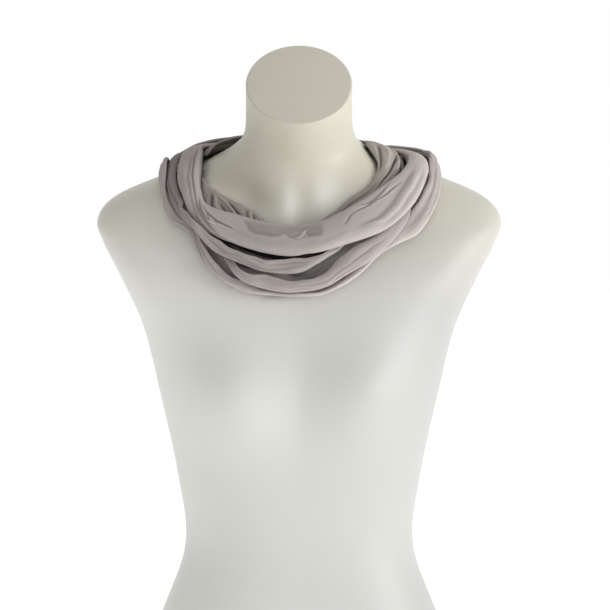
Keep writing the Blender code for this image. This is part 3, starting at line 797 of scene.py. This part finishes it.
def crumples(seed, s, v, span, count, length, width, depth):
    """Small uneven crumples: seeded short strokes that lie roughly along the band, each an elongated bell
    pushed in or out, with its own length, width, slant and depth."""
    rng = np.random.default_rng(seed)
    total = np.zeros(np.broadcast_shapes(s.shape, v.shape))
    for _ in range(count):
        at_s, at_v = rng.uniform(s.min(), s.max()), rng.uniform(-span / 2, span / 2)
        slant = rng.normal(0, STROKE_SLANT)
        run, wide = rng.uniform(*length), rng.uniform(*width)
        push = rng.uniform(*STROKE_PUSH) * rng.choice((-1.0, 1.0)) * depth
        rows = np.abs(s[:, 0] - at_s) < STROKE_REACH * run
        ds, dv = s[rows] - at_s, v - at_v
        dv = dv[rows] if dv.shape[0] == len(s) else dv
        tilted = dv - slant * ds - STROKE_BEND * ds**2 * np.sign(push)
        total[rows] += push * np.exp(-((ds / run) ** 2) - (tilted / wide) ** 2)
    return total


KNIT_WALE = 0.0008  # width of one column of loops, metres
KNIT_COURSE = 0.0007  # height of one row of loops
PLAIN_PAINT_LEVEL = 0.8  # level of the painted light where the cloth gets neither painted shade nor painted highlight


def jersey(name, lit, shaded, deepest, palest=1.16):
    """Thin viscose jersey: fine loops and slubs on the cloth's own UV map in metres, crepe-like crinkles
    along the band and cloudy dyeing that wanders between the shaded and the lit copy of the cloth's colour.
    The piece's attribute of painted light and shade turns the colour towards `deepest` times the shaded
    colour at 0, as painted shade in the deepest folds, and towards `palest` times the lit colour above the
    plain level, as painted highlight on crests."""
    sheen = {"Sheen_Weight": 0.10, "Sheen_Roughness": 0.5, "Sheen_Tint": (0.96, 0.94, 0.92, 1.0)}
    mat, shader, maths = new_material(name, Specular_IOR_Level=0.08, **sheen)
    uv = maths.out("ShaderNodeUVMap", {"uv_map": "cloth"})
    along, across, _ = uv.split()
    wales = (across * (2 * math.pi / KNIT_WALE)).sine()
    courses = (along * (2 * math.pi / KNIT_COURSE)).sine()
    loops = wales * 0.5 + courses * 0.3
    slub = maths.out("ShaderNodeTexNoise", Vector=uv, Scale=520.0, Detail=3.0)
    stretched = maths.out("ShaderNodeMapping", Vector=uv, Scale=(0.22, 1.0, 1.0), Rotation=(0.0, 0.0, 0.12))
    crinkle = maths.out("ShaderNodeTexNoise", Vector=stretched, Scale=230.0, Detail=3.0, Distortion=0.6)
    place = maths.out("ShaderNodeTexCoord", output=3)
    cloud = maths.out("ShaderNodeTexNoise", Vector=place, Scale=26.0, Detail=4.0, Roughness=0.6)
    painted_fold_light = maths.out("ShaderNodeAttribute", {"attribute_name": "painted_fold_light"}, output=2)
    tone = ((cloud - 0.5) * 1.1 + (slub - 0.5) * 0.5 + (crinkle - 0.5) * 0.5 + 0.5).clamp()
    cloth = tone.mix(shaded, lit)
    painted_deep_shade = tuple(deepest * c for c in shaded[:3]) + (1.0,)
    painted_crest_highlight = tuple(palest * c for c in lit[:3]) + (1.0,)
    folded = (painted_fold_light * (1 / PLAIN_PAINT_LEVEL)).clamp().mix(painted_deep_shade, cloth)
    feed(shader, "Base Color", ((painted_fold_light - PLAIN_PAINT_LEVEL) * (1 / (1 - PLAIN_PAINT_LEVEL))).clamp().mix(folded, painted_crest_highlight))
    feed(shader, "Roughness", slub * 0.2 + 0.78)
    knit = maths.out("ShaderNodeBump", Strength=0.22, Distance=0.00025, Height=loops * 0.5 + slub * 0.8)
    relief = maths.out("ShaderNodeBump", Strength=0.42, Distance=0.0012, Height=crinkle, Normal=knit)
    feed(shader, "Normal", relief)
    return mat


# Crumples for each millimetre of the radius, then their lengths, widths and depth
LONG_CRUMPLES = (0.7, (14, 44), (3.6, 9.0), 0.62)
SHORT_CRUMPLES = (2.0, (4, 12), (1.4, 3.0), 0.13)
FREE_ENDS = ("outer", "lower")  # these end at the nape, and are tucked in there
TUCK_FROM, TUCK_DEPTH = 170, 7
MOST_PUSH = 5.0
OPEN_LEAST, OPEN_SPAN = 0.08, 0.42  # openness at which the painted shade in folds is darkest, and how much more makes the cloth plain
CREASED_FROM = 0.3  # darker folds show no crease tone of their own
# most painted shade or highlight from the cloth's bend across the band
MOST_CURL = 0.10
# Painted light: how much paler each stretch gets towards the right, where the light comes from
RIGHT_PAINTED_LIGHT = {"inner": 0.0, "top": 0.13, "middle": 0.13, "lower": 0.13, "outer": 0.07}
RIGHT_FROM, RIGHT_SOFT = 22, 12
GUTTER_ACROSS, GUTTER_MIDDLE, GUTTER_HALF = 0.32, -22, 24  # painted shade on the middle stretch's inside, seen in the gap


def wind_stretch(name, turn, creases, seed, size, mat):
    """Builds one stretch: its sections, pushed in and out by creases and crumples as far as the room there
    allows, then thickened into cloth. Returns the piece and its flat size (width, length) in metres."""
    r, z = base_sections[name]
    angle = cloth_angles[:, None]
    turned = np.radians(angle)
    radius = float(r.mean())
    span = float(np.hypot(np.diff(r, axis=1), np.diff(z, axis=1)).sum(axis=1).mean())
    s = turned * radius
    v = (np.linspace(0, 1, CLOTH_ACROSS)[None, :] - 0.5) * span
    push, crease_painted_shading = crease_push(creases, s, v, radius, span)
    for extra, (count, lengths, widths, depth) in enumerate((LONG_CRUMPLES, SHORT_CRUMPLES)):
        push += crumples(seed + extra, s, v, span, int(count * radius), lengths, widths, depth * size)
    if name in FREE_ENDS:
        push += TUCK_DEPTH * np.clip((angle - TUCK_FROM) / (180 - TUCK_FROM), 0, 1) ** 2
    most_out, most_in = [np.clip((room - CLEARANCE) / 2, 0, MOST_PUSH) for room in room_around(name)]
    push = np.clip(push, -most_out, most_in)
    normal_r, normal_z = outward_of(r, z)
    moved_r, moved_z = r - normal_r * push, z - normal_z * push
    points = np.stack([moved_r * np.sin(turned), NECK_LINE_Y - moved_r * np.cos(turned), moved_z], axis=-1)
    faces = grid_faces(CLOTH_ROUND, CLOTH_ACROSS, False)
    piece = mesh_piece("cloth_" + name, points.reshape(-1, 3), faces.tolist(), mat)
    uv = np.stack(np.broadcast_arrays(s + 2 * math.pi * radius * turn, v), axis=-1)
    layer = piece.data.uv_layers.new(name="cloth")
    corners = np.empty(len(piece.data.loops), dtype=np.int32)
    piece.data.loops.foreach_get("vertex_index", corners)
    layer.data.foreach_set("uv", (uv.reshape(-1, 2)[corners] * MM).astype(np.float32).ravel())
    # Painted light and shade: darker where the rays find little light, darker along crease bottoms and paler
    # on ridges and bends
    lit = np.clip((open_share[name] - OPEN_LEAST) / OPEN_SPAN, 0, 1) * PLAIN_PAINT_LEVEL
    curl = np.gradient(np.gradient(push, axis=1), axis=1)
    painted_fold_light = np.clip(lit + crease_painted_shading * (lit > CREASED_FROM) + np.clip(curl, -MOST_CURL, MOST_CURL), 0, 1)
    painted_fold_light *= band_tone(name, angle, v / span + 0.5)
    painted_fold_light += RIGHT_PAINTED_LIGHT[name] * (painted_fold_light > 0.5) * soft_step(RIGHT_FROM - angle, RIGHT_SOFT)
    # Painted shade on the middle stretch's inside, where it shows in the gap below the top band
    if name == "middle":
        painted_fold_light *= 1 - (v / span > GUTTER_ACROSS) * np.exp(-(((angle - GUTTER_MIDDLE) / GUTTER_HALF) ** 4))
    shade = piece.data.attributes.new("painted_fold_light", "FLOAT", "POINT")
    shade.data.foreach_set("value", painted_fold_light.astype(np.float32).ravel())
    wall = piece.modifiers.new("cloth thickness", "SOLIDIFY")
    wall.thickness = CLOTH_THICKNESS * MM
    wall.offset = 0.0
    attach(piece, "root")
    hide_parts("shawl_" + name)
    length = np.linalg.norm(np.diff(points, axis=0), axis=2).sum(axis=0).mean()
    return piece, (span * MM, float(length) * MM)


# Inner stretch
# The first turn, next to the neck: a fan of soft pleats at the right shoulder and a crumpled strip at the
# front left. Creases are trough depth, lap height, half width, then the line of (angle, across).
INNER_CREASES = (
    (-1.2, 0.3, 1.0, ((-64, 0.50), (-61.5, 0.78), (-59.5, 0.95))),
    (2.3, 0.4, 1.4, ((-64, 0.22), (-62, 0.40), (-60, 0.61), (-57, 0.84))),
    (-1.7, 0.4, 0.9, ((-63, 0.12), (-59.5, 0.36), (-56.5, 0.62), (-52, 0.74), (-48, 0.84))),
    (-1.7, 0.5, 0.9, ((-61, 0.12), (-56.5, 0.22), (-52.5, 0.31), (-48.5, 0.39), (-44, 0.52), (-41, 0.60))),
    (1.5, 0.3, 1.6, ((-57, 0.40), (-53, 0.52), (-49, 0.64))),
    (2.3, -0.5, 1.6, ((-55, 0.14), (-50, 0.27), (-45, 0.39), (-41, 0.52))),
    (1.2, 0.3, 1.7, ((-43, 0.06), (-40, 0.27), (-37, 0.46))),
    (-1.3, 0.3, 1.0, ((-40, 0.06), (-37.5, 0.26), (-35, 0.46))),
    (1.7, 0.4, 1.3, ((-38, 0.06), (-34.5, 0.27), (-32, 0.38))),
    (-1.3, 0.3, 0.9, ((-37, 0.02), (-32.5, 0.09), (-27, 0.19))),
    (2.5, 0.6, 1.2, ((90, 0.72), (82.5, 0.62), (78, 0.53), (73.5, 0.46), (66, 0.34), (58, 0.32))),
    (2.5, 0.6, 1.2, ((95, 0.78), (85, 0.77), (81, 0.80), (76.5, 0.81), (70, 0.68))),
    (2.3, 0.5, 1.3, ((98, 0.90), (90, 0.86), (85, 0.90), (79, 0.94))),
    (-1.2, 0.3, 2.0, ((94, 0.42), (84, 0.45), (78, 0.36), (70, 0.22))),
    (2.0, 0.6, 1.5, ((92, 0.30), (84, 0.24), (77, 0.13), (69, 0.08))),
    (-1.1, 0.3, 1.6, ((92, 0.66), (86, 0.70), (80, 0.70), (74, 0.62))),
    (1.4, 0.6, 1.8, ((66, 0.22), (52, 0.20), (40, 0.22), (28, 0.26))),
    (1.2, 0.4, 2.2, ((60, 0.50), (44, 0.40), (28, 0.34), (8, 0.34))),
    (1.6, 0.8, 2.4, ((178, 0.42), (160, 0.46), (138, 0.60), (116, 0.66))),
    (1.2, 0.5, 2.0, ((172, 0.70), (150, 0.66), (132, 0.40), (112, 0.28))),
    (1.6, 0.8, 2.4, ((-176, 0.40), (-156, 0.50), (-132, 0.44), (-108, 0.56))),
    (1.2, 0.5, 2.0, ((-168, 0.72), (-146, 0.70), (-120, 0.76), (-98, 0.68))),
)
# Its colours are darker than the other stretches' as painted shade, and its crests get a stronger painted
# highlight.
jersey_inner = jersey("jersey_inner", (0.383, 0.344, 0.312, 1), (0.285, 0.252, 0.226, 1), 0.12, 1.32)
cloth_inner, inner_cut = wind_stretch("inner", 0, INNER_CREASES, 101, 0.9, jersey_inner)

# Top stretch
# The broad band across the front. Its sheer upper edge leans on the chest and its lower fold overhangs the
# bands below; long creases run along it from both shoulders.
TOP_CREASES = (
    (1.1, 1.1, 2.0, (
        (-98, 0.16), (-86, 0.20), (-76, 0.22), (-69, 0.28), (-62, 0.36), (-52, 0.62), (-44, 0.80),
    )),
    (1.2, 0.4, 4.2, ((-88, 0.30), (-76, 0.34), (-68, 0.44), (-60, 0.56), (-50, 0.82))),
    (1.2, 1.1, 1.8, ((-64, 0.16), (-54, 0.50), (-47, 0.74), (-38, 0.90))),
    (1.5, 0.7, 1.2, ((-58, 0.30), (-53, 0.42), (-46, 0.54), (-39, 0.56), (-34, 0.60))),
    (1.5, -0.5, 1.1, ((-53, 0.44), (-48.5, 0.63), (-44, 0.56))),
    (-1.0, 0.3, 1.0, ((-56, 0.52), (-50, 0.66), (-44, 0.66))),
    (1.0, 0.7, 2.2, ((-60, 0.72), (-46, 0.88), (-30, 0.90))),
    (0.6, 0.2, 5.0, ((-38, 0.62), (-22, 0.66), (-4, 0.62))),
    (0.5, 0.2, 4.0, ((-6, 0.78), (12, 0.74), (30, 0.66))),
    (-0.5, 0.2, 3.0, ((-26, 0.40), (-8, 0.46), (10, 0.42))),
    (0.5, 0.5, 1.4, ((-4, 0.62), (2, 0.56), (4, 0.44), (6, 0.30))),
    (1.6, 0.9, 1.3, ((62, 0.18), (55.5, 0.21), (46, 0.22), (42, 0.16), (36, 0.08), (30, 0.06))),
    (1.5, 0.8, 1.3, ((66, 0.36), (54.5, 0.32), (49.5, 0.28), (45, 0.27), (39.5, 0.28), (31, 0.32))),
    (1.3, 0.6, 1.1, ((34, 0.28), (30, 0.42), (26, 0.56))),
    (-0.9, 0.4, 1.4, ((58, 0.27), (50, 0.25), (43, 0.22))),
    (1.2, 0.5, 4.2, ((82, 0.36), (70, 0.40), (56, 0.52), (42, 0.64), (26, 0.80))),
    (1.1, 0.4, 3.6, ((80, 0.60), (66, 0.68), (52, 0.78), (38, 0.84))),
    (-0.9, 0.3, 3.0, ((76, 0.50), (62, 0.58), (46, 0.70), (30, 0.66))),
    (1.6, 0.9, 2.6, ((178, 0.40), (158, 0.46), (136, 0.38), (112, 0.34))),
    (1.2, 0.5, 2.2, ((174, 0.68), (152, 0.62), (128, 0.66), (106, 0.58))),
    (1.6, 0.9, 2.6, ((-177, 0.34), (-158, 0.44), (-134, 0.36), (-106, 0.30))),
    (1.2, 0.5, 2.2, ((-172, 0.66), (-150, 0.60), (-126, 0.66), (-100, 0.56))),
)
jersey_top = jersey("jersey_top", (0.467, 0.424, 0.399, 1), (0.365, 0.326, 0.306, 1), 0.12)
cloth_top, top_cut = wind_stretch("top", 0, TOP_CREASES, 202, 0.8, jersey_top)

# Middle stretch
# The second turn of the first fold: an open gutter at the front left with a wavy bare edge inside the dark
# gap, lying over the left shoulder as a narrow roll.
MIDDLE_CREASES = (
    (1.3, 1.0, 2.0, ((-100, 0.30), (-86, 0.34), (-76, 0.38), (-66, 0.34), (-56, 0.50))),
    (1.0, 0.6, 1.8, ((-92, 0.56), (-78, 0.58), (-64, 0.56))),
    (0.9, 0.6, 1.8, ((-52, 0.05), (-40, 0.14), (-30, 0.10), (-18, 0.16))),
    (0.9, 0.5, 2.2, ((-46, 0.24), (-33, 0.20), (-22, 0.22), (-8, 0.20), (6, 0.16))),
    (0.7, 0.4, 1.5, ((-26, 0.04), (-16, 0.10), (-4, 0.08), (8, 0.10))),
    (-0.7, 0.3, 2.0, ((-38, 0.18), (-24, 0.14), (-10, 0.12))),
    (1.6, 0.9, 2.6, ((-177, 0.40), (-158, 0.34), (-136, 0.42), (-110, 0.36))),
    (1.2, 0.5, 2.2, ((-172, 0.68), (-152, 0.62), (-130, 0.64), (-106, 0.60))),
    (1.6, 0.9, 2.6, ((177, 0.34), (160, 0.40), (140, 0.34), (122, 0.44))),
    (1.2, 0.5, 2.2, ((174, 0.62), (156, 0.68), (136, 0.60))),
)
# Its deepest colour is near black: painted shade in the gap below the top band.
jersey_middle = jersey("jersey_middle", (0.424, 0.379, 0.357, 1), (0.340, 0.301, 0.282, 1), 0.05)
cloth_middle, middle_cut = wind_stretch("middle", 1, MIDDLE_CREASES, 303, 0.75, jersey_middle)

# Lower stretch
# The second turn of the second fold, a gutter whose bare edge drops away from the top band and runs up to
# the right shoulder.
LOWER_CREASES = (
    (1.0, 0.8, 1.7, ((-28, 0.24), (-10, 0.22), (8, 0.22), (22, 0.32), (36, 0.38))),
    (0.9, 0.6, 1.6, ((-12, 0.12), (8, 0.12), (24, 0.24), (38, 0.24), (50, 0.34))),
    (0.8, 0.6, 1.4, ((2, 0.30), (18, 0.34), (34, 0.46))),
    (0.8, 0.5, 1.3, ((10, 0.86), (15, 0.96))),
    (0.8, -0.5, 1.2, ((14, 0.84), (19, 0.98))),
    (0.7, 0.4, 1.6, ((-24, 0.06), (-12, 0.05), (2, 0.06))),
    (1.5, 0.8, 2.4, ((-177, 0.36), (-156, 0.44), (-132, 0.40))),
    (1.1, 0.5, 2.0, ((-170, 0.64), (-150, 0.60), (-130, 0.66))),
    (1.5, 0.8, 2.4, ((177, 0.38), (156, 0.44), (130, 0.40))),
    (1.1, 0.5, 2.0, ((170, 0.66), (150, 0.62), (132, 0.68))),
)
# Its deepest colour is paler than its shaded one: painted light inside its gutter, which is open to the
# light.
jersey_lower = jersey("jersey_lower", (0.428, 0.385, 0.365, 1), (0.335, 0.295, 0.280, 1), 1.40)
cloth_lower, lower_cut = wind_stretch("lower", 1, LOWER_CREASES, 404, 0.75, jersey_lower)

# Outer stretch
# The last turn. It lies lowest on the chest at the left, slips under the lower band across the front, and
# comes up over the right shoulder as a broad soft roll; its end is tucked in at the nape.
OUTER_CREASES = (
    (1.4, 0.9, 2.0, ((-62, 0.40), (-58, 0.30), (-51, 0.25), (-44, 0.30), (-34, 0.28))),
    (1.3, 0.8, 1.7, ((-58, 0.18), (-53, 0.12), (-47, 0.13), (-38, 0.16))),
    (0.9, 0.5, 1.8, ((-50, 0.36), (-40, 0.34), (-26, 0.36))),
    (1.5, 0.9, 2.2, ((-104, 0.24), (-92, 0.30), (-82, 0.32), (-74, 0.40))),
    (1.1, 0.5, 1.8, ((-100, 0.52), (-88, 0.56), (-78, 0.60))),
    (1.5, 1.3, 2.2, ((76, 0.10), (66, 0.12), (58, 0.16), (52, 0.24), (45, 0.48))),
    (1.2, 0.6, 4.0, ((124, 0.30), (104, 0.34), (88, 0.36), (78, 0.42), (66, 0.48), (56, 0.56))),
    (1.0, 0.6, 2.2, ((128, 0.14), (110, 0.12), (94, 0.18), (82, 0.22))),
    (1.0, 0.4, 3.4, ((110, 0.56), (92, 0.60), (76, 0.64), (62, 0.72))),
    (1.6, 0.9, 2.6, ((-177, 0.36), (-156, 0.44), (-132, 0.38), (-108, 0.34))),
    (1.2, 0.5, 2.2, ((-172, 0.66), (-150, 0.62), (-124, 0.64))),
    (1.5, 0.8, 2.6, ((179, 0.38), (162, 0.44), (142, 0.36), (124, 0.44))),
    (1.1, 0.5, 2.2, ((176, 0.68), (156, 0.62), (136, 0.66))),
)
# Its lit colour is the palest of all: painted light on the roll at the right, where the light comes from.
jersey_outer = jersey("jersey_outer", (0.630, 0.572, 0.550, 1), (0.380, 0.338, 0.322, 1), 0.66)
cloth_outer, outer_cut = wind_stretch("outer", 2, OUTER_CREASES, 505, 0.8, jersey_outer)
